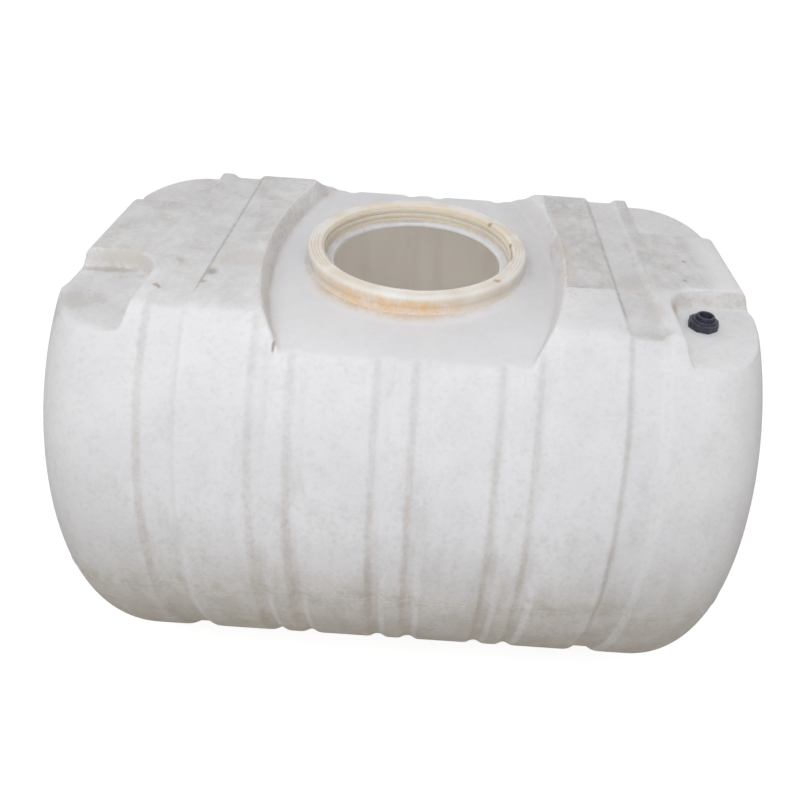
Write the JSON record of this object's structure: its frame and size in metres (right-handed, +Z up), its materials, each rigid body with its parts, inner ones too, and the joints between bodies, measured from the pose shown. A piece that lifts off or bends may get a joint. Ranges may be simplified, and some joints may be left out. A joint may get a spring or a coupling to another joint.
{
  "type": "horizontal water tank",
  "caption": "Moulded white plastic water tank lying on a flat base, a ribbed round barrel with dished ends, a recessed deck, an open manhole ring and a small inlet fitting.",
  "frame": {"origin": "middle of the flat base, on the floor", "axes": "+X along the barrel towards the end with the inlet, +Z up, the front of the tank towards -Y"},
  "size_m": [1.421, 1.074, 0.9182],
  "materials": {
    "tank_moulding": "satin white moulded polyethylene, dusty",
    "manhole_ring": "aged cream plastic",
    "inlet_fitting": "dark slate plastic",
    "gasket": "black rubber"
  },
  "bodies": {
    "root": {"base_panel": "tank_moulding", "front_haunch": "tank_moulding", "front_shoulder": "tank_moulding", "front_wall_lower": "tank_moulding", "front_wall_upper": "tank_moulding", "inlet_body": "inlet_fitting", "inlet_gasket": "gasket", "inlet_nut": "inlet_fitting", "left_deck": "tank_moulding", "left_end_base": "tank_moulding", "left_end_panel": "tank_moulding", "left_end_top": "tank_moulding", "left_front_lower_corner": "tank_moulding", "left_front_upper_corner": "tank_moulding", "left_rear_lower_corner": "tank_moulding", "left_rear_upper_corner": "tank_moulding", "manhole_floor_front": "tank_moulding", "manhole_floor_rear": "tank_moulding", "manhole_ring": "manhole_ring", "rear_haunch": "tank_moulding", "rear_shoulder": "tank_moulding", "rear_wall_lower": "tank_moulding", "rear_wall_upper": "tank_moulding", "right_deck": "tank_moulding", "right_end_base": "tank_moulding", "right_end_panel": "tank_moulding", "right_end_top": "tank_moulding", "right_front_lower_corner": "tank_moulding", "right_front_upper_corner": "tank_moulding", "right_rear_lower_corner": "tank_moulding", "right_rear_upper_corner": "tank_moulding"}
  },
  "joints": []
}
